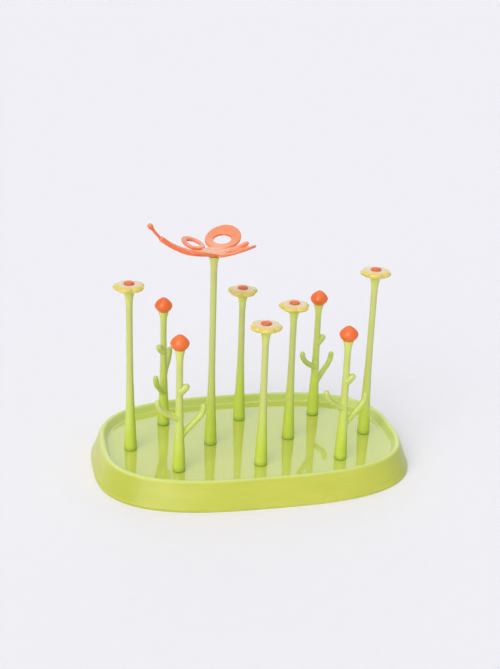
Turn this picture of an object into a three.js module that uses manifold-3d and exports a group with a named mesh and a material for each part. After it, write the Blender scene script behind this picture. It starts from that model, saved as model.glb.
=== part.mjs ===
// Bottle drying rack: an oval drip tray with ten plug-in stems.
// Millimetres, +Z up, the resting surface is Z = 0, the long side runs along X.
import * as THREE from 'three';
import { mergeVertices } from 'three/addons/utils/BufferGeometryUtils.js';
import Module from 'manifold-3d';

const wasm = await Module();
wasm.setup();

// ---- driving dimensions ----
const TRAY_LENGTH = 300;
const TRAY_WIDTH = 200;
const TRAY_SQUARENESS = 2.9;      // power of the oval outline, 2 is an ellipse
const TRAY_STEPS = 56;
const PLATE_TOP = 17.1;
const PLATE_UNDER = 14.7;
const STEM_PITCH = 76;            // along X
const ROW_PITCH = 48;             // along Y
const GAP = 0.3;                  // clearance between two pieces that touch
const SOCKET_RADIUS = 4.3;
const SOCKET_FLOOR = 5;
const BOSS_RADIUS = 6.6;
const BOSS_FLOOR = 3.4;
const PLUG_RADIUS = SOCKET_RADIUS - GAP;
const PLUG_BOTTOM = SOCKET_FLOOR + 0.6;
const ROUND_STEPS = 14;
const PIN_RADIUS = 1.6;
const PIN_LENGTH = 7;
const HOLE_RADIUS = PIN_RADIUS + GAP;
const HOLE_DEPTH = PIN_LENGTH + 0.5;
const STEM_TOP_RADIUS = 5.1;
const SHAFT_RADIUS = 3.05;
const PETAL_COUNT = 5;
const PETAL_STEPS = 5;            // outline steps per petal
const PETAL_NOTCH_DEPTH = 2.4;
const PETAL_SEAT = 7.4;            // height of the low mound that the cap sits on
const CAP_RADIUS = 4.9;
const CAP_HEIGHT = 2.1;
const BUD_HEIGHT = 13.6;
const WING_THICKNESS = 2.8;
const WING_STEPS = 22;
const HUB_RADIUS = 10;
const BUTTERFLY_MIDDLE = 2.6;     // height of the wing sheet above the stem top

// Cross-section of the tray wall: inset along X, inset along Y, height.
// It runs over the rim and down the skirt, then back up inside the skirt to the plate.
const TRAY_SECTION = [
  [17.2, 18.2, PLATE_TOP],        // edge of the flat plate
  [15.3, 16.4, 17.7],
  [14.6, 15.6, 19.4],
  [12.8, 14.3, 23.9],             // inner wall
  [11.8, 13.5, 24.7],
  [10.2, 12.1, 25.1],             // crest of the rim
  [8.7, 10.9, 24.5],
  [7.7, 10.1, 23.2],
  [7.1, 9.4, 21.5],               // top of the skirt
  [0.7, 0.8, 3],
  [0, 0, 2.4],                    // foot band
  [0, 0, 0],
  [2.4, 2.4, 0],
  [3.2, 3.4, 3],                  // inside of the skirt
  [8.9, 11, 19.6],
  [9.9, 12, 21.2],
  [11.4, 13.2, 21.2],
  [12.6, 13.9, 16.9],
  [14.6, 15.6, PLATE_UNDER],      // underside of the plate
];

// Radius of a stem against the height above the plate.
const STEM_TAPER = [
  [5.6, 0],
  [6, 0.6],
  [5.4, 15],
  [4.6, 31],
  [3.85, 50],
  [3.3, 70],
  [SHAFT_RADIUS, 92],
];

// Radius of the trumpet under a head against the depth below the stem top.
const STEM_FLARE = [
  [SHAFT_RADIUS, 17],
  [3.2, 10.5],
  [3.75, 5],
  [4.65, 1.6],
  [STEM_TOP_RADIUS, 0],
];

// Side twigs of a bud stem: outward distance and height above the plate.
const TWIGS = [
  { side: 0, radius: 2.6, path: [[0, 34], [7, 38.7], [14, 44.4], [20, 49.6], [23.2, 54.5], [24.2, 60.5]] },
  { side: 181, radius: 2.5, path: [[0, 52.3], [6, 54.8], [12, 58.4], [17, 62.8], [20.3, 67.5], [21.4, 72.8]] },
  { side: -26, radius: 2.9, path: [[0, 77.5], [4.2, 80.5], [8, 84.5]] },
];

// Radius and height of one petal ring, and whether the ring is lobed.
const PETAL_PROFILE = [
  [HOLE_RADIUS, 0, false],
  [STEM_TOP_RADIUS, 0, false],
  [9.6, 1.2, true],
  [12.4, 2.4, true],
  [13.9, 3.5, true],
  [14.5, 4.7, true],
  [14, 5.8, true],
  [12.6, 6.7, true],
  [10, 7.1, true],
  [CAP_RADIUS + 0.8, PETAL_SEAT, false],
  [HOLE_RADIUS, PETAL_SEAT, false],
];

const BUD_PROFILE = [
  [5.2, 0],
  [6.7, 1.5],
  [7.9, 3.3],
  [8.4, 4.8],
  [8.45, 5.8],
  [7.9, 7.3],
  [6.8, 9],
  [5.1, 10.7],
  [3.2, 12.2],
  [1.2, 13.3],
];

// x and y count stem pitches and row pitches from the middle of the tray.
const POSTS = [
  { place: 'left_end', x: -1.5, y: 0, top: 155.2, head: 'flower', turn: 170 },
  { place: 'butterfly', x: -0.5, y: 0, top: 185.4, head: 'butterfly', turn: 5.7 },
  { place: 'inner_right', x: 0.5, y: 0, top: 129.7, head: 'flower', turn: 15 },
  { place: 'right_end', x: 1.5, y: 0, top: 158.7, head: 'flower', turn: 176 },
  { place: 'back_left', x: -1, y: 1, top: 117.8, head: 'bud', turn: -116 },
  { place: 'back_middle', x: 0, y: 1, top: 129.7, head: 'flower', turn: 6 },
  { place: 'back_right', x: 1, y: 1, top: 117.8, head: 'bud', turn: 34 },
  { place: 'front_left', x: -1, y: -1, top: 117.8, head: 'bud', turn: 16 },
  { place: 'front_middle', x: 0, y: -1, top: 129.7, head: 'flower', turn: 262 },
  { place: 'front_right', x: 1, y: -1, top: 117.8, head: 'bud', turn: 20 },
];

// Wings of the butterfly: direction from the body axis and distance of the
// ring centre, radii across and along the wing, radii of the hole and its shift to the hub.
// Each wing has a mirror twin.
const WINGS = [
  { side: 55.5, reach: 25.2, across: 16.5, along: 17, holeAcross: 8, holeAlong: 7.4, shift: 2.3 },
  { side: 136, reach: 21.4, across: 10.2, along: 10.8, holeAcross: 5.5, holeAlong: 5.8, shift: 0.4 },
];

// Body of the butterfly along its axis: position, height, half width, half thickness.
const BODY = [
  [31.6, 8.2, 1.1, 0.8],
  [30.5, 7.3, 2.5, 1.7],
  [26, 4.8, 2.8, 2],
  [18, 1.9, 3.2, 2.3],
  [8, 0.2, 4.3, 2.5],
  [-8, 0.2, 4.3, 2.5],
  [-18.5, 1.3, 3.8, 2.5],
  [-27, 3.6, 3.5, 2.5],
  [-34, 6.7, 3.2, 2.4],
  [-40.5, 10.4, 2.9, 2.3],
  [-45.5, 14, 2.7, 2.3],
  [-48.5, 16.4, 2.5, 2.2],
  [-49.2, 17, 1.4, 1.4],
  [-53.4, 21.8, 1.3, 1.3],
  [-56, 25.3, 1.4, 1.4],
  [-57.4, 27.2, 2.4, 2.4],
  [-58.6, 28.9, 2.3, 2.3],
  [-59.4, 30.2, 1, 1],
];

const COLOURS = {
  tray: [0xc3d052, 0.22],
  stem: [0xb4cb45, 0.3],
  petals: [0xf3e08c, 0.25],
  cap: [0xfb7a3a, 0.35],
  bud: [0xff7335, 0.38],
  butterfly: [0xff7d48, 0.3],
};

// ---- helpers ----
const radians = (degrees) => degrees * Math.PI / 180;

// Skin over a run of loops with equal point counts; a loop of one point is a pole.
// A cyclic run joins the last loop to the first.
function skin(loops, cyclic = false) {
  const points = [];
  const starts = [];
  for (const loop of loops) {
    starts.push(points.length / 3);
    for (const p of loop) points.push(...p);
  }
  const triangles = [];
  const spans = cyclic ? loops.length : loops.length - 1;
  for (let i = 0; i < spans; i += 1) {
    const j = (i + 1) % loops.length;
    const count = Math.max(loops[i].length, loops[j].length);
    for (let k = 0; k < count; k += 1) {
      const next = (k + 1) % count;
      const a = starts[i] + (loops[i].length > 1 ? k : 0);
      const b = starts[i] + (loops[i].length > 1 ? next : 0);
      const c = starts[j] + (loops[j].length > 1 ? next : 0);
      const d = starts[j] + (loops[j].length > 1 ? k : 0);
      if (a !== b) triangles.push(a, b, c);
      if (c !== d) triangles.push(a, c, d);
    }
  }
  const geometry = new THREE.BufferGeometry();
  geometry.setAttribute('position', new THREE.Float32BufferAttribute(points, 3));
  geometry.setIndex(triangles);
  return geometry;
}

// Loop of points round the Z axis; the radius may vary with the angle.
function ring(radius, z, steps = ROUND_STEPS) {
  const loop = [];
  for (let i = 0; i < steps; i += 1) {
    const angle = 2 * Math.PI * i / steps;
    const r = typeof radius === 'function' ? radius(angle) : radius;
    loop.push([r * Math.cos(angle), r * Math.sin(angle), z]);
  }
  return loop;
}

// Solid of revolution from a profile of [radius, z], poles at both ends.
function turned(bottom, profile, top, steps = ROUND_STEPS) {
  const loops = profile.map(([radius, z]) => ring(radius, z, steps));
  return skin([[[0, 0, bottom]], ...loops, [[0, 0, top]]]);
}

function toManifold(geometry) {
  const bare = geometry.clone();
  bare.deleteAttribute('normal');
  bare.deleteAttribute('uv');
  const merged = mergeVertices(bare, 1e-4);
  return new wasm.Manifold(new wasm.Mesh({
    numProp: 3,
    vertProperties: new Float32Array(merged.attributes.position.array),
    triVerts: new Uint32Array(merged.index.array),
  }));
}

function fromManifold(solid) {
  const mesh = solid.getMesh();
  const points = [];
  for (let i = 0; i < mesh.numVert; i += 1) {
    for (let k = 0; k < 3; k += 1) points.push(mesh.vertProperties[i * mesh.numProp + k]);
  }
  const geometry = new THREE.BufferGeometry();
  geometry.setAttribute('position', new THREE.Float32BufferAttribute(points, 3));
  geometry.setIndex(Array.from(mesh.triVerts));
  return geometry;
}

// Bar along a path of [x, y, z, half width, half thickness], domed at both ends.
// The path stays in one upright plane that runs through `heading`; a power of 1 makes
// the section an ellipse and a smaller one squares it up.
function bar(path, heading, steps, power = 1) {
  const squared = (value) => Math.sign(value) * Math.abs(value) ** power;
  const across = new THREE.Vector3(-Math.sin(heading), Math.cos(heading), 0);
  const centres = path.map(([x, y, z]) => new THREE.Vector3(x, y, z));
  const loops = [];
  centres.forEach((centre, i) => {
    const before = centres[Math.max(i - 1, 0)];
    const after = centres[Math.min(i + 1, centres.length - 1)];
    const along = after.clone().sub(before).normalize();
    const up = along.clone().cross(across).normalize();
    const loop = [];
    for (let k = 0; k < steps; k += 1) {
      const angle = 2 * Math.PI * k / steps;
      const p = centre.clone()
        .addScaledVector(across, path[i][3] * squared(Math.cos(angle)))
        .addScaledVector(up, path[i][4] * squared(Math.sin(angle)));
      loop.push(p.toArray());
    }
    loops.push(loop);
  });
  const first = [centres[0].toArray()];
  const last = [centres[centres.length - 1].toArray()];
  return skin([first, ...loops, last]);
}

// ---- tray ----
function ovalLoop([insetX, insetY, z]) {
  const halfX = TRAY_LENGTH / 2 - insetX;
  const halfY = TRAY_WIDTH / 2 - insetY;
  const power = 2 / TRAY_SQUARENESS;
  const loop = [];
  for (let i = 0; i < TRAY_STEPS; i += 1) {
    const angle = 2 * Math.PI * i / TRAY_STEPS;
    const c = Math.cos(angle);
    const s = Math.sin(angle);
    loop.push([
      halfX * Math.sign(c) * Math.abs(c) ** power,
      halfY * Math.sign(s) * Math.abs(s) ** power,
      z,
    ]);
  }
  return loop;
}

function makeTray() {
  const loops = TRAY_SECTION.map(ovalLoop);
  const shell = skin([[[0, 0, PLATE_TOP]], ...loops, [[0, 0, PLATE_UNDER]]]);
  shell.index.array.reverse();
  let tray = toManifold(shell);
  for (const post of POSTS) {
    const x = post.x * STEM_PITCH;
    const y = post.y * ROW_PITCH;
    const bossTop = PLATE_TOP - 1;
    const holeTop = PLATE_TOP + 1;
    const boss = turned(BOSS_FLOOR, [[BOSS_RADIUS, BOSS_FLOOR], [BOSS_RADIUS, bossTop]], bossTop);
    const hole = turned(SOCKET_FLOOR, [[SOCKET_RADIUS, SOCKET_FLOOR], [SOCKET_RADIUS, holeTop]], holeTop);
    tray = tray.add(toManifold(boss).translate(x, y, 0));
    tray = tray.subtract(toManifold(hole).translate(x, y, 0));
  }
  return fromManifold(tray);
}

// ---- stems ----
function twig(entry) {
  const heading = radians(entry.side);
  const path = entry.path.map(([out, z]) => [
    out * Math.cos(heading),
    out * Math.sin(heading),
    z,
    entry.radius,
    entry.radius,
  ]);
  const end = path[path.length - 1];
  const lead = path[path.length - 2];
  const tip = end.map((value, i) => (i < 3 ? value + 0.3 * (value - lead[i]) : 0.55 * value));
  return bar([...path, tip], heading, 8);
}

function makeStem(post) {
  const base = PLATE_TOP + GAP;
  const top = PLATE_TOP + post.top;
  const profile = [
    [PLUG_RADIUS - 0.7, PLUG_BOTTOM],
    [PLUG_RADIUS, PLUG_BOTTOM + 0.8],
    [PLUG_RADIUS, base],
    ...STEM_TAPER.map(([radius, height]) => [radius, base + height]),
    ...STEM_FLARE.map(([radius, depth]) => [radius, top - depth]),
    [HOLE_RADIUS, top],
    [HOLE_RADIUS, top - HOLE_DEPTH],
  ];
  const shaft = turned(PLUG_BOTTOM, profile, top - HOLE_DEPTH);
  if (post.head !== 'bud') return shaft;
  let stem = toManifold(shaft);
  for (const entry of TWIGS) stem = stem.add(toManifold(twig(entry)).translate(0, 0, PLATE_TOP));
  return fromManifold(stem.rotate(0, 0, post.turn));
}

// ---- heads; each one stands at the origin and is lifted onto its stem ----
function makePetals(turn) {
  const steps = PETAL_COUNT * PETAL_STEPS;
  const lobed = (reach, depth) => (angle) => {
    const lobe = Math.abs(Math.cos(PETAL_COUNT * (angle - radians(turn)) / 2)) ** 0.7;
    return reach - depth * (1 - lobe);
  };
  return skin(PETAL_PROFILE.map(([radius, z, notched]) => {
    const depth = PETAL_NOTCH_DEPTH * Math.min(1, (radius - 4) / 9);
    return ring(notched ? lobed(radius, depth) : radius, z, steps);
  }), true);
}

function makeCap() {
  const seat = PETAL_SEAT + GAP;
  return turned(-PIN_LENGTH, [
    [PIN_RADIUS, -PIN_LENGTH],
    [PIN_RADIUS, seat],
    [CAP_RADIUS - 0.3, seat],
    [CAP_RADIUS, seat + 0.4],
    [CAP_RADIUS * 0.84, seat + CAP_HEIGHT * 0.55],
    [CAP_RADIUS * 0.49, seat + CAP_HEIGHT * 0.88],
  ], seat + CAP_HEIGHT);
}

function makeBud() {
  return turned(-PIN_LENGTH, [
    [PIN_RADIUS, -PIN_LENGTH],
    [PIN_RADIUS, 0],
    ...BUD_PROFILE,
  ], BUD_HEIGHT);
}

// Height of the wing sheet against the distance from the stem.
const wingRise = (distance) => 0.16 * distance + 0.0041 * distance ** 2;

function makeWing(wing, axis, mirror) {
  const heading = axis + mirror * radians(wing.side);
  const loop = (shift, across, along, lift) => {
    const points = [];
    for (let i = 0; i < WING_STEPS; i += 1) {
      const angle = 2 * Math.PI * i / WING_STEPS;
      const out = wing.reach - shift + along * Math.cos(angle);
      const aside = across * Math.sin(angle);
      const x = out * Math.cos(heading) - aside * Math.sin(heading);
      const y = out * Math.sin(heading) + aside * Math.cos(heading);
      points.push([x, y, wingRise(Math.max(out, 0)) + lift]);
    }
    return points;
  };
  const half = WING_THICKNESS / 2;
  return skin([
    loop(wing.shift, wing.holeAcross, wing.holeAlong, -half),
    loop(0, wing.across - 0.5, wing.along - 0.5, -half),
    loop(0, wing.across, wing.along, 0),
    loop(0, wing.across - 0.5, wing.along - 0.5, half),
    loop(wing.shift, wing.holeAcross, wing.holeAlong, half),
  ], true);
}

function makeButterfly(turn) {
  const axis = radians(turn);
  const body = BODY.map(([s, z, w, t]) => [s * Math.cos(axis), s * Math.sin(axis), z, w, t]);
  let solid = toManifold(bar(body, axis, 12, 0.65));
  for (const wing of WINGS) {
    for (const mirror of [1, -1]) solid = solid.add(toManifold(makeWing(wing, axis, mirror)));
  }
  const half = WING_THICKNESS / 2;
  const hub = turned(-half, [
    [5, -half],
    [HUB_RADIUS, 0.3],
    [HUB_RADIUS + 1.5, 2.2],
    [HUB_RADIUS, 2.6],
  ], half, 20);
  const pin = turned(-BUTTERFLY_MIDDLE - PIN_LENGTH, [
    [PIN_RADIUS, -BUTTERFLY_MIDDLE - PIN_LENGTH],
    [PIN_RADIUS, -BUTTERFLY_MIDDLE],
    [STEM_TOP_RADIUS, -BUTTERFLY_MIDDLE],
    [STEM_TOP_RADIUS, 0],
  ], 0);
  solid = solid.add(toManifold(hub)).add(toManifold(pin));
  return fromManifold(solid.translate(0, 0, BUTTERFLY_MIDDLE));
}

// ---- assembly ----
const part = new THREE.Group();

function place(name, geometry, kind, x = 0, y = 0, z = 0) {
  const [colour, roughness] = COLOURS[kind];
  geometry.translate(x, y, z);
  geometry.computeVertexNormals();
  const material = new THREE.MeshStandardMaterial({ color: colour, roughness, metalness: 0 });
  const mesh = new THREE.Mesh(geometry, material);
  mesh.name = name;
  part.add(mesh);
}

place('tray', makeTray(), 'tray');
for (const post of POSTS) {
  const x = post.x * STEM_PITCH;
  const y = post.y * ROW_PITCH;
  const headBase = PLATE_TOP + post.top + GAP;
  place(`stem_${post.place}`, makeStem(post), 'stem', x, y);
  if (post.head === 'flower') {
    place(`petals_${post.place}`, makePetals(post.turn), 'petals', x, y, headBase);
    place(`cap_${post.place}`, makeCap(), 'cap', x, y, headBase);
  } else if (post.head === 'bud') {
    place(`bud_${post.place}`, makeBud(), 'bud', x, y, headBase);
  } else {
    place('butterfly', makeButterfly(post.turn), 'butterfly', x, y, headBase);
  }
}

export default part;
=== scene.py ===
"""Bottle drying rack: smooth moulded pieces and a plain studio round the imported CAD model.

Shapes are worked out in millimetres in the frame of the CAD model, +Z up, and become metres
when a piece is made.
"""

import math

import bpy
import numpy as np
from mathutils import Matrix, Vector
from mathutils.geometry import delaunay_2d_cdt


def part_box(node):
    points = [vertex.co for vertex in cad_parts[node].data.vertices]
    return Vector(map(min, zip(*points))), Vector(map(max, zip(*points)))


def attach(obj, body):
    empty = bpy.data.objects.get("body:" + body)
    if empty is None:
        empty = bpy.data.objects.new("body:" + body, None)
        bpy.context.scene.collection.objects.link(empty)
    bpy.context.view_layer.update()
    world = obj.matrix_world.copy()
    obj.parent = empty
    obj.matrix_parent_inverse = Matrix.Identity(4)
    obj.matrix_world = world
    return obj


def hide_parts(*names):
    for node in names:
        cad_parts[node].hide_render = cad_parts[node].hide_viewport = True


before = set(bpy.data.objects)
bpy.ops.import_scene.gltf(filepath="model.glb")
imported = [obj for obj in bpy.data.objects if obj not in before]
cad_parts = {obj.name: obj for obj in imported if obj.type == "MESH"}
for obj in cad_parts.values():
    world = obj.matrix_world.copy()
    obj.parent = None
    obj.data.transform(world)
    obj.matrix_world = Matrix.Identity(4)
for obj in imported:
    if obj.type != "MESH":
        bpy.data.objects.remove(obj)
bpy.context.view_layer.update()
MM = 0.001

# ---- dimensions ----
TRAY_SQUARENESS = 2.9  # power of the oval outline, 2 is an ellipse
TRAY_STEPS = 240
SOCKET_RADIUS = 4.3
SOCKET_FLOOR = 5.0  # height above the floor that the rack stands on
BOSS_RADIUS = 6.6
BOSS_FLOOR = 3.4
ROUND_STEPS = 48
GAP = 0.3  # play between pieces that sit on each other
PLUG_RADIUS = 4.0
PIN_RADIUS = 1.6
PIN_LENGTH = 7.0
HOLE_RADIUS = PIN_RADIUS + GAP
HOLE_DEPTH = PIN_LENGTH + 0.5
STEM_TOP_RADIUS = 5.1
SHAFT_RADIUS = 3.05
PETAL_COUNT = 5
PETAL_STEPS = 26
PETAL_TIP_RADIUS = 14.5
PETAL_NOTCH_DEPTH = 2.4
PETAL_NOTCH_START = 5.5  # radius at which the notches between the petals begin
PETAL_CREASE = 0.55  # depth of the crease that runs in from each notch
PETAL_SEAT = 7.4  # height of the low mound that the cap sits on
CAP_RADIUS = 4.9
CAP_HEIGHT = 2.1
BUD_HEIGHT = 13.6
BUD_FOLDS = 3
BUD_FOLD_DEPTH = 0.022  # share of the bud's radius
BUD_TWIST = 14  # degrees for each millimetre of height
WING_HALF = 1.4  # half of the wing's thickness
BUTTERFLY_MIDDLE = 2.6  # height of the wing sheet above the head's foot

# Wall of the tray: inset along X, inset along Y, height, reach of the rounded corner.
# It runs from the plate over the rim, down the skirt and back up inside to the plate.
TRAY_WALL = [
    [18.2, 19.2, 17.1, 0],
    [17.2, 18.2, 17.1, 0.9],
    [15.3, 16.4, 17.7, 2],
    [14.6, 15.6, 19.4, 2],
    [12.8, 14.3, 23.9, 2],
    [11.8, 13.5, 24.7, 2],
    [10.2, 12.1, 25.1, 2],
    [8.7, 10.9, 24.5, 2],
    [7.7, 10.1, 23.2, 2],
    [7.1, 9.4, 21.5, 2],
    [0.7, 0.8, 3.0, 0.5],
    [0.0, 0.0, 2.4, 0.4],
    [0.0, 0.0, 0.0, 0.6],
    [2.4, 2.4, 0.0, 0.6],
    [3.2, 3.4, 3.0, 1.2],
    [8.9, 11.0, 19.6, 2],
    [9.9, 12.0, 21.2, 2],
    [11.4, 13.2, 21.2, 2],
    [12.6, 13.9, 16.9, 2],
    [14.6, 15.6, 14.7, 0.9],
    [15.6, 16.6, 14.7, 0],
]

# Rows of radius and height above the plate, then of radius and depth below the stem top.
STEM_TAPER = [[6.0, 1.0], [5.4, 15], [4.6, 31], [3.85, 50], [3.3, 70], [SHAFT_RADIUS, 92]]
STEM_FLARE = [[SHAFT_RADIUS, 17], [3.2, 10.5], [3.75, 5], [4.6, 1.7], [4.95, 0.5]]

# Side twigs of a bud stem: heading, radius and a path of outward distance and height
# above the plate.
TWIGS = [
    {
        "side": 0,
        "radius": 2.75,
        "path": [[0, 34], [7, 38.7], [14, 44.4], [20, 49.6], [23.2, 54.5], [24.3, 61.4]],
    },
    {
        "side": 181,
        "radius": 2.65,
        "path": [[0, 52.3], [6, 54.8], [12, 58.4], [17, 62.8], [20.3, 67.5], [21.5, 73.7]],
    },
    {"side": -26, "radius": 3.0, "path": [[0, 77.5], [4.2, 80.5], [8.1, 84.7]]},
]

# Radius and height of a flower's petals, from the stem out to the tip and in to the cap.
PETAL_TIP_ROW = 5
PETAL_PROFILE = [
    [STEM_TOP_RADIUS, 0],
    [6.8, 0.35],
    [9.6, 1.2],
    [12.2, 2.3],
    [13.9, 3.4],
    [PETAL_TIP_RADIUS, 4.6],
    [14.2, 5.6],
    [13.2, 6.4],
    [11.6, 6.9],
    [10, 7.1],
    [8.6, 7.15],
    [7.2, 7.3],
    [6.2, PETAL_SEAT],
    [HOLE_RADIUS, PETAL_SEAT],
]

BUD_PROFILE = [
    [5.2, 0.0],
    [6.7, 1.5],
    [7.9, 3.3],
    [8.4, 4.8],
    [8.45, 5.8],
    [7.9, 7.3],
    [6.8, 9.0],
    [5.1, 10.7],
    [3.2, 12.2],
    [1.2, 13.3],
]

# How far each head is turned about its stem, in degrees. A bud's twigs turn with it.
TURNS = {
    "left_end": 170,
    "butterfly": 5.7,
    "inner_right": 15,
    "right_end": 176,
    "back_left": -116,
    "back_middle": 6,
    "back_right": 34,
    "front_left": 16,
    "front_middle": 262,
    "front_right": 20,
}

# Wings: direction from the body axis, distance of the ring centre, radii across and along,
# radii of the hole and its shift towards the hub. Each one has a mirror twin.
WINGS = [
    {"side": 55.5, "reach": 25.2, "outer": (16.5, 17.0), "hole": (8.0, 7.4), "shift": 2.3},
    {"side": 136, "reach": 21.4, "outer": (10.2, 10.8), "hole": (5.5, 5.8), "shift": 0.4},
]

# Rounded edge of a wing: inset, and height as a share of half the wing's thickness.
WING_EDGE = [[0.8, -1], [0.25, -0.7], [0, 0], [0.25, 0.7], [0.8, 1]]

# Body of the butterfly along its axis: position, height, half width, half thickness.
BUTTERFLY_BODY = [
    [31.6, 8.2, 1.1, 0.8],
    [30.5, 7.3, 2.5, 1.7],
    [26, 4.8, 2.8, 2],
    [18, 1.9, 3.2, 2.3],
    [8, 0.2, 4.3, 2.5],
    [-8, 0.2, 4.3, 2.5],
    [-18.5, 1.3, 3.8, 2.5],
    [-27, 3.6, 3.5, 2.5],
    [-34, 6.7, 3.2, 2.4],
    [-40.5, 10.4, 2.9, 2.3],
    [-45.5, 14, 2.7, 2.3],
    [-48.5, 16.4, 2.6, 2.3],
    [-49.1, 16.9, 1.5, 1.5],
    [-53.4, 21.8, 1.4, 1.4],
    [-56, 25.3, 1.5, 1.5],
    [-57.4, 27.2, 2.4, 2.4],
    [-58.6, 28.9, 2.3, 2.3],
    [-59.4, 30.2, 1, 1],
]


# ---- curves ----
def spline(points, per_span):
    """Smooth curve through rows of numbers, a centripetal Catmull-Rom."""
    p = np.array(points, float)
    p = np.vstack([2 * p[0] - p[1], p, 2 * p[-1] - p[-2]])
    rows = []
    for a, b, c, d in zip(p, p[1:], p[2:], p[3:]):
        t1 = np.linalg.norm(b - a) ** 0.5
        t2 = t1 + np.linalg.norm(c - b) ** 0.5
        t3 = t2 + np.linalg.norm(d - c) ** 0.5
        for t in np.linspace(t1, t2, per_span, endpoint=False):
            ab = a + (b - a) * t / t1
            bc = b + (c - b) * (t - t1) / (t2 - t1)
            cd = c + (d - c) * (t - t2) / (t3 - t2)
            abc = ab + (bc - ab) * t / t2
            bcd = bc + (cd - bc) * (t - t1) / (t3 - t1)
            rows.append(abc + (bcd - abc) * (t - t1) / (t2 - t1))
    rows.append(p[-2])
    return rows


def rounded(points, steps=5):
    """Polyline whose corners are rounded; the last number of a row is the rounding."""
    corners = [np.array(row[:-1], float) for row in points]
    rows = [corners[0]]
    for i in range(1, len(points) - 1):
        corner, reach = corners[i], points[i][-1]
        if reach == 0:
            rows.append(corner)
            continue
        ends = []
        for other in (corners[i - 1], corners[i + 1]):
            arm = other - corner
            share = min(0.49, reach / np.linalg.norm(arm))  # under half, so that arcs don't meet
            ends.append(corner + arm * share)
        for k in range(steps + 1):
            t = k / steps
            rows.append((1 - t) ** 2 * ends[0] + 2 * t * (1 - t) * corner + t * t * ends[1])
    rows.append(corners[-1])
    return rows


# ---- meshes ----
class Mesh:
    """Vertices and faces in millimetres, gathered piece by piece."""

    def __init__(self):
        self.vertices = []
        self.faces = []

    def loop(self, points):
        start = len(self.vertices)
        self.vertices.extend(tuple(p) for p in points)
        return list(range(start, len(self.vertices)))

    def bridge(self, a, b):
        """Faces between two loops; a loop of one point is a pole."""
        count = max(len(a), len(b))
        for k in range(count):
            n = (k + 1) % count
            corners = [a[k % len(a)], a[n % len(a)], b[n % len(b)], b[k % len(b)]]
            face = [v for i, v in enumerate(corners) if v != corners[i - 1]]
            self.faces.append(face)

    def skin(self, loops, cyclic=False):
        made = [self.loop(points) for points in loops]
        for a, b in zip(made, made[1:] + made[:1] if cyclic else made[1:]):
            self.bridge(a, b)
        return made

    def plate(self, outline, holes, up):
        """Flat sheet inside a convex outline, with round holes, facing up or down."""
        indices = [i for loop in [outline, *holes] for i in loop]
        flat = [Vector(self.vertices[i][:2]) for i in indices]
        edges, start = [], 0
        for loop in [outline, *holes]:
            n = len(loop)
            edges += [(start + k, start + (k + 1) % n) for k in range(n)]
            start += n
        result = delaunay_2d_cdt(flat, edges, [], 0, 1e-6)
        spots, triangles, sources = result[0], result[2], result[3]
        centres = []
        for loop in holes:
            corners = [Vector(self.vertices[i][:2]) for i in loop]
            centre = sum(corners, Vector((0, 0))) / len(corners)
            centres.append((centre, (corners[0] - centre).length * 0.999))
        for triangle in triangles:
            middle = sum((spots[i] for i in triangle), Vector((0, 0))) / 3
            if any((middle - c).length < r for c, r in centres):
                continue
            face = [indices[sources[i][0]] for i in triangle]
            a, b, c = (Vector(self.vertices[i][:2]) for i in face)
            if ((b - a).cross(c - a) > 0) != up:
                face.reverse()
            self.faces.append(face)

    def build(self, name, sharp=40):
        mesh = bpy.data.meshes.new(name)
        scaled = [tuple(value * MM for value in v) for v in self.vertices]
        mesh.from_pydata(scaled, [], self.faces)
        mesh.validate()
        mesh.shade_smooth()
        mesh.set_sharp_from_angle(angle=math.radians(sharp))
        made = bpy.data.objects.new(name, mesh)
        bpy.context.scene.collection.objects.link(made)
        return made


def circle(radius, x, y, z, steps=ROUND_STEPS):
    """Loop of points round an upright axis; the radius may vary with the angle."""
    points = []
    for k in range(steps):
        angle = 2 * math.pi * k / steps
        r = radius(angle) if callable(radius) else radius
        points.append((x + r * math.cos(angle), y + r * math.sin(angle), z))
    return points


def turned(mesh, profile, x, y, z, steps=ROUND_STEPS):
    """Solid of revolution about an upright axis, from rows of radius and height."""
    loops = [[(x, y, z + profile[0][1])]]
    loops += [circle(radius, x, y, z + height, steps) for radius, height in profile[1:-1]]
    loops.append([(x, y, z + profile[-1][1])])
    mesh.skin(loops)


def bar(mesh, path, heading, origin, steps=20, power=1):
    """Bar along rows of x, y, z, half width, half thickness, domed at both ends.

    The path stays in one upright plane that runs through the heading. A power of 1 makes
    the section an ellipse and a smaller one squares it up.
    """
    across = np.array([-math.sin(heading), math.cos(heading), 0])
    centres = [np.array(row[:3]) + np.array(origin) for row in path]
    loops = [[centres[0]]]
    for i, centre in enumerate(centres):
        along = centres[min(i + 1, len(path) - 1)] - centres[max(i - 1, 0)]
        up = np.cross(along / np.linalg.norm(along), across)
        loop = []
        for k in range(steps):
            angle = 2 * math.pi * k / steps
            c, s = (math.copysign(abs(v) ** power, v) for v in (math.cos(angle), math.sin(angle)))
            loop.append(centre + across * path[i][3] * c + up * path[i][4] * s)
        loops.append(loop)
    loops.append([centres[-1]])
    mesh.skin(loops)


def outward(made):
    """Turns all faces of a closed mesh outwards."""
    bpy.context.view_layer.objects.active = made
    made.select_set(True)
    bpy.ops.object.mode_set(mode="EDIT")
    bpy.ops.mesh.select_all(action="SELECT")
    bpy.ops.mesh.normals_make_consistent(inside=False)
    bpy.ops.object.mode_set(mode="OBJECT")
    made.select_set(False)


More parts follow.
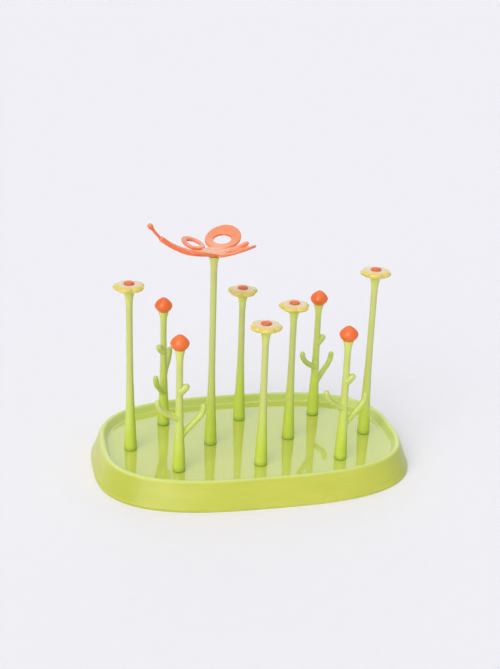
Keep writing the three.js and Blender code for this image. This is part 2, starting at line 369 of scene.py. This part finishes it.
def fuse(made, voxel, passes):
    """Melts overlapping solids into one skin with soft inner corners."""
    outward(made)
    remesh = made.modifiers.new("fuse", "REMESH")
    remesh.mode = "VOXEL"
    remesh.voxel_size = voxel * MM
    remesh.adaptivity = 0
    remesh.use_smooth_shade = True
    relax = made.modifiers.new("relax", "SMOOTH")
    relax.factor = 0.5
    relax.iterations = passes
    evaluated = made.evaluated_get(bpy.context.evaluated_depsgraph_get())
    fused = bpy.data.meshes.new_from_object(evaluated)
    made.modifiers.clear()
    made.data = fused
    fused.shade_smooth()


def eased(value, low, high):
    """Soft step from 0 at the low mark to 1 at the high one."""
    share = min(1, max(0, (value - low) / (high - low)))
    return share * share * (3 - 2 * share)


def mark(made, name, share):
    """Point attribute from a rule on each point's place in millimetres and its facing."""
    values = made.data.attributes.new(name, "FLOAT", "POINT").data
    for vertex, value in zip(made.data.vertices, values):
        value.value = share(vertex.co / MM, vertex.normal)


def settle(made, node, body, material):
    """Gives a finished piece its looks and its place in the model."""
    made.data.materials.clear()
    made.data.materials.append(material)
    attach(made, body)
    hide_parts(node)


# ---- materials ----
PLASTIC_IOR = 1.53
CLOUD_SCALE = 38
GLOSS_SCALE = 70
PEEL_SCALE = 420
GRAIN_SCALE = 5200


def moulded(
    name,
    colour,
    deep,
    roughness,
    coat,
    coat_roughness,
    soft=0.0,
    peel_depth=0.02,
    coat_ior=1.6,
    specular=0.5,
    **fades,
):
    """Injection-moulded plastic: cloudy tint, uneven gloss and a faint orange-peel skin.

    The tint wanders between colour and deep. Soft is the share of light that goes in under
    the surface. Each fade is a colour that takes over where the points are marked with its
    name. A roughness of 0.28 here left contour lines on the stems in the denoised renders,
    and 0.295 left none.
    """
    material = bpy.data.materials.new(name)
    material.use_nodes = True
    nodes, links = material.node_tree.nodes, material.node_tree.links
    shader = nodes["Principled BSDF"]
    shader.inputs["IOR"].default_value = PLASTIC_IOR
    shader.inputs["Coat Weight"].default_value = coat
    shader.inputs["Coat Roughness"].default_value = coat_roughness
    shader.inputs["Coat IOR"].default_value = coat_ior
    shader.inputs["Specular IOR Level"].default_value = specular
    shader.inputs["Subsurface Weight"].default_value = soft
    shader.inputs["Subsurface Scale"].default_value = 0.003
    shader.inputs["Subsurface Radius"].default_value = (1.0, 0.9, 0.35)
    place = nodes.new("ShaderNodeTexCoord").outputs["Object"]
    flow = nodes.new("ShaderNodeMapping")
    flow.inputs["Scale"].default_value = (0.6, 0.6, 2.4)
    links.new(place, flow.inputs["Vector"])

    def noise(scale, detail, spot=place):
        texture = nodes.new("ShaderNodeTexNoise")
        texture.inputs["Scale"].default_value = scale
        texture.inputs["Detail"].default_value = detail
        links.new(spot, texture.inputs["Vector"])
        return texture.outputs["Fac"]

    def spread(value, low, high):
        mapped = nodes.new("ShaderNodeMapRange")
        mapped.inputs["From Min"].default_value = 0.3
        mapped.inputs["From Max"].default_value = 0.7
        mapped.inputs["To Min"].default_value = low
        mapped.inputs["To Max"].default_value = high
        links.new(value, mapped.inputs["Value"])
        return mapped.outputs["Result"]

    tint = nodes.new("ShaderNodeMix")
    tint.data_type = "RGBA"
    tint.inputs[6].default_value = (*deep, 1)
    tint.inputs[7].default_value = (*colour, 1)
    links.new(spread(noise(CLOUD_SCALE, 3, flow.outputs["Vector"]), 0, 1), tint.inputs[0])
    for mark_name, faded in fades.items():
        marked = nodes.new("ShaderNodeAttribute")
        marked.attribute_name = mark_name
        fade = nodes.new("ShaderNodeMix")
        fade.data_type = "RGBA"
        fade.inputs[7].default_value = (*faded, 1)
        links.new(marked.outputs["Fac"], fade.inputs[0])
        links.new(tint.outputs[2], fade.inputs[6])
        tint = fade
    links.new(tint.outputs[2], shader.inputs["Base Color"])
    gloss = spread(noise(GLOSS_SCALE, 2), roughness * 0.94, roughness * 1.07)
    links.new(gloss, shader.inputs["Roughness"])

    peel = nodes.new("ShaderNodeBump")
    peel.inputs["Strength"].default_value = peel_depth
    peel.inputs["Distance"].default_value = 0.0006
    links.new(noise(PEEL_SCALE, 2), peel.inputs["Height"])
    grain = nodes.new("ShaderNodeBump")
    grain.inputs["Strength"].default_value = 0.05
    grain.inputs["Distance"].default_value = 0.0001
    links.new(noise(GRAIN_SCALE, 2), grain.inputs["Height"])
    links.new(peel.outputs["Normal"], grain.inputs["Normal"])
    links.new(grain.outputs["Normal"], shader.inputs["Normal"])
    return material


LIME = moulded(
    "lime_tray",
    (0.60, 0.63, 0.10),
    (0.53, 0.58, 0.08),
    roughness=0.36,
    coat=0.4,
    coat_roughness=0.22,
    coat_ior=1.5,
    specular=0.2,
    # painted bounce light: a greener, lighter tone on the inner wall for the green light bounced
    # round inside the tray
    inner=(0.61, 0.74, 0.19),
    # painted light on the inner walls at the ends and a painted highlight on the crest
    ends=(0.80, 0.86, 0.38),
    # painted shade on the skirt
    dusk=(0.42, 0.47, 0.055),
)
LIME_POLISHED = moulded(
    "lime_plate",
    # painted bounce light: a slightly greener tone than the skirt, for the green light bounced
    # from the stems
    (0.595, 0.665, 0.115),
    (0.575, 0.655, 0.105),
    roughness=0.12,
    coat=1.0,
    coat_roughness=0.03,
    peel_depth=0,
    coat_ior=1.68,
)
GREEN = moulded(
    "green_stem",
    (0.64, 0.77, 0.10),
    (0.60, 0.74, 0.09),
    roughness=0.295,
    coat=0.2,
    coat_roughness=0.1,
    soft=0.1,
    peel_depth=0.005,
    # painted sheen: paler up the shaft, for the light and pale reflection that the upper stem
    # catches
    pale=(0.60, 0.65, 0.20),
    # painted light near the top, lifting the shade under the head
    tip=(0.76, 0.78, 0.24),
    # painted shade: contact shade at the foot and shade on the side away from the key light
    dusk=(0.33, 0.52, 0.06),
)
YELLOW = moulded(
    "yellow_petal",
    (0.79, 0.66, 0.15),
    (0.76, 0.62, 0.13),
    roughness=0.24,
    coat=0.3,
    coat_roughness=0.1,
    soft=0.1,
    # painted reflection on the flat top of the petals
    pale=(0.81, 0.63, 0.42),
)
ORANGE = moulded(
    "orange_cap",
    (0.84, 0.165, 0.022),
    (0.80, 0.145, 0.018),
    roughness=0.3,
    coat=0.15,
    coat_roughness=0.12,
    soft=0.1,
)
DEEP_ORANGE = moulded(
    "orange_bud",
    (0.93, 0.18, 0.025),
    (0.88, 0.15, 0.02),
    roughness=0.34,
    coat=0.2,
    coat_roughness=0.15,
    soft=0.1,
    pale=(0.60, 0.22, 0.05),
)
CORAL = moulded(
    "coral_butterfly",
    (0.96, 0.19, 0.04),
    (0.93, 0.17, 0.034),
    roughness=0.25,
    coat=0.5,
    coat_roughness=0.08,
    soft=0.1,
    coat_ior=1.5,
    # painted reflection on the butterfly's upward-facing surfaces
    pale=(0.92, 0.48, 0.30),
)


# ---- tray ----
tray_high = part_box("tray")[1] / MM


def oval_angles():
    """Angles whose points lie evenly along the tray's outline."""
    fine = np.linspace(0, 2 * math.pi, 20001)
    x, y = oval_points(fine, 0, 0)
    run = np.concatenate([[0], np.cumsum(np.hypot(np.diff(x), np.diff(y)))])
    return np.interp(np.linspace(0, run[-1], TRAY_STEPS, endpoint=False), run, fine)


def oval_points(angles, inset_x, inset_y):
    """Points of the tray's outline moved in by the insets."""
    power = 2 / TRAY_SQUARENESS
    c, s = np.cos(angles), np.sin(angles)
    x = (tray_high.x - inset_x) * np.sign(c) * np.abs(c) ** power
    y = (tray_high.y - inset_y) * np.sign(s) * np.abs(s) ** power
    return x, y


def make_tray(axes):
    """Shell with its plate, rim and skirt, and a socket and a boss under each stem."""
    mesh = Mesh()
    angles = oval_angles()
    wall = []
    for inset_x, inset_y, z in rounded(TRAY_WALL):
        x, y = oval_points(angles, inset_x, inset_y)
        wall.append(mesh.loop(zip(x, y, [z] * len(x))))
    for upper, lower in zip(wall, wall[1:]):
        mesh.bridge(lower, upper)
    top, under = TRAY_WALL[0][2], TRAY_WALL[-1][2]
    mouths, roots = [], []
    for x, y in axes:
        socket = rounded([
            [SOCKET_RADIUS + 1.2, top, 0],
            [SOCKET_RADIUS, top, 0.3],
            [SOCKET_RADIUS, SOCKET_FLOOR, 0.3],
            [SOCKET_RADIUS - 1, SOCKET_FLOOR, 0],
        ], 3)
        loops = [circle(r, x, y, z) for r, z in socket] + [[(x, y, SOCKET_FLOOR)]]
        mouths.append(mesh.skin(loops)[0])
        boss = rounded([
            [BOSS_RADIUS + 2, under, 0],
            [BOSS_RADIUS, under, 0.8],
            [BOSS_RADIUS, BOSS_FLOOR, 0.5],
            [BOSS_RADIUS - 1, BOSS_FLOOR, 0],
        ], 3)
        loops = [circle(r, x, y, z) for r, z in boss] + [[(x, y, BOSS_FLOOR)]]
        roots.append(mesh.skin(loops)[0])
    mesh.plate(wall[0], mouths, True)
    mesh.plate(wall[-1], roots, False)
    made = mesh.build("tray_moulding")
    outward(made)
    return made


def oval_reach(x, y, inset_x, inset_y):
    """Below 1 inside the tray's outline moved in by the insets, above 1 outside it."""
    reach = (abs(x) / (tray_high.x - inset_x)) ** TRAY_SQUARENESS
    reach += (abs(y) / (tray_high.y - inset_y)) ** TRAY_SQUARENESS
    return reach


def polish_plate(made):
    """Second finish, a mirror polish, on the flat plate inside the wall."""
    made.data.materials.append(LIME_POLISHED)
    edge, fillet = TRAY_WALL[1], TRAY_WALL[2]
    for face in made.data.polygons:
        x, y, z = face.center / MM
        inside = oval_reach(x, y, fillet[0], fillet[1]) < 1
        if inside and edge[2] - 0.2 < z < fillet[2] + 0.3:
            face.material_index = 1


def inside_crest(p, facing):
    """How far a point lies inside the crest of the rim: 0 on the skirt, 1 on the inner wall."""
    if p.z < 15:  # the lower half of the skirt
        return 0
    crest = max(TRAY_WALL, key=lambda row: row[2])
    return eased(oval_reach(p.x, p.y, crest[0], crest[1]), 1.08, 1)


def painted_light_on_ends(p, facing):
    """Painted light at the tray's two ends: a paler inner wall, most at the left, and a painted
    highlight along the crest, strongest at the ends.
    """
    left_wall_light = eased(facing.x, 0.3, 0.9)
    right_wall_light = 0.4 * eased(facing.x, -0.3, -0.9)
    crest = eased(p.z, 23.2, 24.5) * (0.15 + 0.3 * eased(abs(p.x), 95, 135))
    return max(inside_crest(p, facing) * max(left_wall_light, right_wall_light), crest)


def skirt_dusk(p, facing):
    """Painted shade: a deeper tone on the skirt at its right end and at its front left corner."""
    if inside_crest(p, facing) > 0.5:
        return 0
    right_end = 0.7 * eased(facing.x, 0.35, 0.95)
    front_left = 0.55 * eased(-0.62 * facing.x - 0.72 * facing.y, 0.65, 0.95)
    return max(right_end, front_left)


# ---- stems and heads ----
def make_stem(place, x, y, top, turn):
    """Stem whose foot stands on the plate; a bud stem also carries three twigs."""
    base = TRAY_WALL[0][2] + GAP
    foot = SOCKET_FLOOR + 0.6
    lower = rounded([
        [0, foot, 0],
        [PLUG_RADIUS, foot, 0.8],
        [PLUG_RADIUS, base, 0],
        [STEM_TAPER[0][0], base, 0.6],
        [STEM_TAPER[0][0], base + 1, 0],
    ], 4)
    shaft = [[r, base + h] for r, h in STEM_TAPER] + [[r, top - d] for r, d in STEM_FLARE]
    upper = rounded([
        [STEM_FLARE[-1][0], top - 0.5, 0],
        [STEM_TOP_RADIUS, top, 0.3],
        [HOLE_RADIUS, top, 0.3],
        [HOLE_RADIUS, top - HOLE_DEPTH, 0],
        [0, top - HOLE_DEPTH, 0],
    ], 4)
    mesh = Mesh()
    turned(mesh, [*lower[:-1], *spline(shaft, 8)[:-1], *upper], x, y, 0)
    if "bud" not in HEADS[place]:
        made = mesh.build(f"{place}_stem_moulding")
        outward(made)
        return made
    for twig in TWIGS:
        heading = math.radians(twig["side"] + turn)
        centre_line = spline(twig["path"], 8)
        spans = [np.linalg.norm(b - a) for a, b in zip(centre_line, centre_line[1:])]
        run = np.concatenate([[0], np.cumsum(spans)])
        path = []
        for (out, height), length in zip(centre_line, run):
            tip = min(1, (run[-1] - length) / twig["radius"])
            dome = math.sqrt(max(0.02, 1 - (1 - tip) ** 2))
            root = 1 + 0.45 * math.exp(-((length / 5.5) ** 2))  # swells where it leaves the stem
            radius = twig["radius"] * dome * root
            path.append([out * math.cos(heading), out * math.sin(heading), height, radius, radius])
        bar(mesh, path, heading, (x, y, TRAY_WALL[0][2]))
    made = mesh.build(f"{place}_stem_moulding")
    fuse(made, voxel=0.45, passes=5)
    return made


def make_petals(place, x, y, z, turn):
    """Five joined petals on a cone, with a flat top round the middle."""
    steps = PETAL_COUNT * PETAL_STEPS
    per_span = 5
    notch_reach = PETAL_TIP_RADIUS - PETAL_NOTCH_START
    mesh = Mesh()
    loops = []
    for row, (radius, height) in enumerate(spline(PETAL_PROFILE, per_span)):
        share = min(1, max(0, (radius - PETAL_NOTCH_START) / notch_reach)) ** 1.3
        top = row > per_span * (PETAL_TIP_ROW + 1)
        loop = []
        for k in range(steps):
            angle = 2 * math.pi * k / steps
            lobe = abs(math.cos(PETAL_COUNT * (angle - math.radians(turn)) / 2)) ** 0.7
            r = radius - PETAL_NOTCH_DEPTH * share * (1 - lobe)
            crease = PETAL_CREASE * share * (1 - lobe) ** 3 if top else 0
            loop.append((x + r * math.cos(angle), y + r * math.sin(angle), z + height - crease))
        loops.append(loop)
    loops.append(circle(HOLE_RADIUS, x, y, z, steps))
    mesh.skin(loops, cyclic=True)
    made = mesh.build(f"{place}_petals")
    outward(made)
    return made


def make_cap(place, x, y, z):
    """Domed centre of a flower, with the pin that goes down into the stem."""
    seat = PETAL_SEAT + GAP
    rim = 0.35
    dome = [[CAP_RADIUS - 0.3, seat], [CAP_RADIUS, seat + rim]]
    dome += [
        [CAP_RADIUS * math.cos(a), seat + rim + (CAP_HEIGHT - rim) * math.sin(a)]
        for a in np.linspace(0.12, math.pi / 2 - 0.05, 16)
    ]
    mesh = Mesh()
    turned(mesh, [
        [0, -PIN_LENGTH],
        [PIN_RADIUS - 0.3, -PIN_LENGTH],
        [PIN_RADIUS, -PIN_LENGTH + 0.4],
        [PIN_RADIUS, seat],
        *dome,
        [0, seat + CAP_HEIGHT],
    ], x, y, z)
    made = mesh.build(f"{place}_cap")
    outward(made)
    return made


def make_bud(place, x, y, z, turn):
    """Closed bud: an onion shape with three faint folds that wind up to the tip."""
    mesh = Mesh()
    loops = [[(x, y, z - PIN_LENGTH)]]
    loops.append(circle(PIN_RADIUS - 0.3, x, y, z - PIN_LENGTH))
    loops.append(circle(PIN_RADIUS, x, y, z - PIN_LENGTH + 0.4))
    loops.append(circle(PIN_RADIUS, x, y, z))
    for radius, height in spline(BUD_PROFILE, 6):
        fold = BUD_FOLD_DEPTH * math.sin(math.pi * min(1, height / BUD_HEIGHT)) ** 2
        start = math.radians(turn + BUD_TWIST * height)

        def swell(angle, radius=radius, fold=fold, start=start):
            valley = 1 - abs(math.cos(BUD_FOLDS / 2 * (angle - start))) ** 0.6
            return radius * (1 - fold * valley)

        loops.append(circle(swell, x, y, z + height))
    loops.append([(x, y, z + BUD_HEIGHT)])
    mesh.skin(loops)
    made = mesh.build(f"{place}_bud", 60)
    outward(made)
    return made


def wing_rise(distance):
    """Height of the wing sheet against the distance from the stem."""
    distance = max(distance, 0)
    return 0.16 * distance + 0.0041 * distance**2


def wing_loop(wing, heading, inset, hole, lift, origin, steps=96):
    """Loop round a wing at its outer edge or at its hole, moved in by the inset."""
    across, along = wing["hole" if hole else "outer"]
    shift = wing["shift"] if hole else 0
    points = []
    for k in range(steps):
        angle = 2 * math.pi * k / steps
        out = wing["reach"] - shift + (along - inset) * math.cos(angle)
        aside = (across - inset) * math.sin(angle)
        x = out * math.cos(heading) - aside * math.sin(heading)
        y = out * math.sin(heading) + aside * math.cos(heading)
        points.append((origin[0] + x, origin[1] + y, origin[2] + wing_rise(out) + lift))
    return points


def make_butterfly(x, y, z, turn):
    """Body with a long feeler, four wing rings, a hub dish and the pin, melted into one."""
    axis = math.radians(turn)
    origin = (x, y, z + BUTTERFLY_MIDDLE)
    mesh = Mesh()
    path = [
        [along * math.cos(axis), along * math.sin(axis), *rest]
        for along, *rest in spline(BUTTERFLY_BODY, 5)
    ]
    bar(mesh, path, axis, origin, steps=36, power=0.65)
    for wing in WINGS:
        for side in (wing["side"], -wing["side"]):
            heading = axis + math.radians(side)
            loops = []
            for hole, rows in ((False, WING_EDGE), (True, WING_EDGE[::-1])):
                for inset, lift in rows:
                    inset = -inset if hole else inset
                    loops.append(wing_loop(wing, heading, inset, hole, lift * WING_HALF, origin))
            mesh.skin(loops, cyclic=True)
    turned(mesh, [
        [0, -WING_HALF],
        [5, -WING_HALF],
        [8, -0.7],
        [10, 0.5],
        [11.4, 1.9],
        [10.8, 2.6],
        [9, 2.5],
        [5, 1.9],
        [0, 1.6],
    ], *origin)
    turned(mesh, [
        [0, -BUTTERFLY_MIDDLE - PIN_LENGTH],
        [PIN_RADIUS, -BUTTERFLY_MIDDLE - PIN_LENGTH],
        [PIN_RADIUS, -BUTTERFLY_MIDDLE],
        [STEM_TOP_RADIUS, -BUTTERFLY_MIDDLE],
        [STEM_TOP_RADIUS, 0],
        [0, 0],
    ], *origin)
    made = mesh.build("butterfly_moulding")
    fuse(made, voxel=0.42, passes=6)
    return made


# ---- tones of the stems and heads ----
def mark_stem(stem, top, paleness):
    """Painted light and shade: a paler painted sheen up the shaft and paler painted light at the
    tip, deeper painted shade at the foot and on the right side.
    """
    plate = TRAY_WALL[0][2]

    # painted sheen up the shaft
    def pale(p, facing):
        return paleness * eased(p.z, 27, 100) * eased(p.z, top, top - 14)

    # painted light near the top of the stem
    def tip(p, facing):
        return 0.6 * eased(p.z, top - 18, top - 4)

    # painted shade at the foot and on the right side
    def dusk(p, facing):
        foot = eased(p.z, plate + 6, plate + 0.5)
        return max(0.75 * foot, 0.28 * eased(facing.x - 0.2 * facing.y, 0.3, 1))

    mark(stem, "pale", pale)
    mark(stem, "tip", tip)
    mark(stem, "dusk", dusk)


def mark_petals(petals, axis, z):
    """Painted reflection: a paler flat middle on the upper side."""
    mark(petals, "pale", lambda p, facing: eased((p.xy - axis).length, 11, 9) * (p.z > z + 5))


def mark_bud(bud, z):
    """Duller, browner tip."""
    mark(bud, "pale", lambda p, facing: 0.6 * eased(p.z, z + 12.2, z + 13.5))


def mark_butterfly(butterfly, axis):
    """Painted reflection: paler from above, most of all at the hub."""

    def pale(p, facing):
        near_hub = math.exp(-(((p.xy - axis).length / 14) ** 2))
        return eased(facing.z, 0, 0.9) * (0.4 + 0.55 * near_hub)

    mark(butterfly, "pale", pale)


# ---- assembly ----
HEADS = {}  # kinds of head piece on each stem
for place in TURNS:
    heads = [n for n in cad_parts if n.endswith(place) and not n.startswith("stem_")]
    HEADS[place] = sorted(n.split("_")[0] for n in heads)

axes = {}  # a bud stem's box is off centre because of its twigs, so its bud gives the axis
for place in TURNS:
    node = f"bud_{place}" if "bud" in HEADS[place] else f"stem_{place}"
    low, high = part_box(node)
    axes[place] = ((low + high) / 2 / MM).xy

tray = make_tray([tuple(axis) for axis in axes.values()])
settle(tray, "tray", "tray", LIME)
# painted bounce light: the greener, lighter inner tone inside the crest
mark(tray, "inner", inside_crest)
# painted light on the ends' inner walls and a painted highlight along the crest
mark(tray, "ends", painted_light_on_ends)
# painted shade on the skirt's right end and front left corner
mark(tray, "dusk", skirt_dusk)
polish_plate(tray)
for place, turn in TURNS.items():
    x, y = axes[place]
    body = f"{place}_stem"
    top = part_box(f"stem_{place}")[1].z / MM
    z = top + GAP
    stem = make_stem(place, x, y, top, turn)
    mark_stem(stem, top, 0.75 if "bud" in HEADS[place] else 1.0)
    settle(stem, f"stem_{place}", body, GREEN)
    if "petals" in HEADS[place]:
        petals = make_petals(place, x, y, z, turn)
        mark_petals(petals, axes[place], z)
        settle(petals, f"petals_{place}", body, YELLOW)
        settle(make_cap(place, x, y, z), f"cap_{place}", body, ORANGE)
    elif "bud" in HEADS[place]:
        bud = make_bud(place, x, y, z, turn)
        mark_bud(bud, z)
        settle(bud, f"bud_{place}", body, DEEP_ORANGE)
    else:
        butterfly = make_butterfly(x, y, z, turn)
        mark_butterfly(butterfly, axes[place])
        settle(butterfly, "butterfly", body, CORAL)


# ---- studio ----
BACKDROP_RADIUS = 20000


def soft_sun(name, azimuth, elevation, width, strength, colour):
    """Broad even light from far away; azimuth 0 stands behind the camera's side, -Y."""
    lamp = bpy.data.lights.new(name, "SUN")
    lamp.energy = strength
    lamp.angle = math.radians(width)
    lamp.color = colour
    made = bpy.data.objects.new(name, lamp)
    turn, height = math.radians(azimuth), math.radians(elevation)
    source = Vector((
        math.sin(turn) * math.cos(height),
        -math.cos(turn) * math.cos(height),
        math.sin(height),
    ))
    made.rotation_euler = source.to_track_quat("Z", "Y").to_euler()
    bpy.context.scene.collection.objects.link(made)


def make_floor():
    """Wide pale floor with a barely uneven tone."""
    mesh = Mesh()
    mesh.skin([[(0, 0, 0)]] + [circle(r, 0, 0, 0, 96) for r in (500, 2000, 8000, 40000)])
    floor = mesh.build("floor")
    material = bpy.data.materials.new("pale_floor")
    material.use_nodes = True
    nodes, links = material.node_tree.nodes, material.node_tree.links
    shader = nodes["Principled BSDF"]
    shader.inputs["Roughness"].default_value = 0.9
    shader.inputs["Specular IOR Level"].default_value = 0.1
    speckle = nodes.new("ShaderNodeTexNoise")
    speckle.inputs["Scale"].default_value = 60
    links.new(nodes.new("ShaderNodeTexCoord").outputs["Object"], speckle.inputs["Vector"])
    tone = nodes.new("ShaderNodeMix")
    tone.data_type = "RGBA"
    tone.inputs[6].default_value = (0.905, 0.895, 0.965, 1)
    tone.inputs[7].default_value = (0.925, 0.915, 0.985, 1)
    links.new(speckle.outputs["Fac"], tone.inputs[0])
    links.new(tone.outputs[2], shader.inputs["Base Color"])
    floor.data.materials.append(material)


def make_backdrop():
    """Far wall in the tone of the lit floor, so that low views have no hard horizon.

    Only the camera sees it, so it adds no light and no reflection.
    """
    mesh = Mesh()
    mesh.skin([circle(BACKDROP_RADIUS, 0, 0, z, 96) for z in (-200, BACKDROP_RADIUS)])
    wall = mesh.build("backdrop")
    material = bpy.data.materials.new("backdrop_tone")
    material.use_nodes = True
    shader = material.node_tree.nodes["Principled BSDF"]
    shader.inputs["Base Color"].default_value = (0, 0, 0, 1)
    shader.inputs["Specular IOR Level"].default_value = 0
    shader.inputs["Emission Color"].default_value = (0.868, 0.861, 0.906, 1)
    shader.inputs["Emission Strength"].default_value = 1
    wall.data.materials.append(material)
    wall.visible_diffuse = wall.visible_glossy = wall.visible_transmission = False
    wall.visible_shadow = False


make_floor()
make_backdrop()
soft_sun("key", -40, 34, 50, 1.75, (1.0, 0.94, 0.84))
soft_sun("top", 0, 85, 60, 0.6, (1.0, 1.0, 1.0))
soft_sun("back", 168, 22, 62, 0.5, (0.93, 1.0, 1.0))

world = bpy.data.worlds.new("studio")
bpy.context.scene.world = world
world.use_nodes = True
world.node_tree.nodes["Background"].inputs["Color"].default_value = (0.93, 0.97, 1.0, 1)
world.node_tree.nodes["Background"].inputs["Strength"].default_value = 0.43
bpy.context.scene.view_settings.view_transform = "Standard"

# ---- camera ----
CAMERA_PLACE = (-0.2182, -0.9088, 0.4918)
VIEW_AZIMUTH = 12.19  # looks along +Y, turned this far towards +X
VIEW_ELEVATION = 22.29
VIEW_ROLL = 1.55
lens = bpy.data.cameras.new("camera")
lens.sensor_width = 36
lens.lens = 58.7
lens.shift_x = 0.0308
lens.shift_y = 0.0247
lens.clip_end = 100
camera = bpy.data.objects.new("camera", lens)
camera.matrix_world = (
    Matrix.Translation(CAMERA_PLACE)
    @ Matrix.Rotation(math.radians(-VIEW_AZIMUTH), 4, "Z")
    @ Matrix.Rotation(math.radians(90 - VIEW_ELEVATION), 4, "X")
    @ Matrix.Rotation(math.radians(VIEW_ROLL), 4, "Z")
)
bpy.context.scene.collection.objects.link(camera)
bpy.context.scene.camera = camera
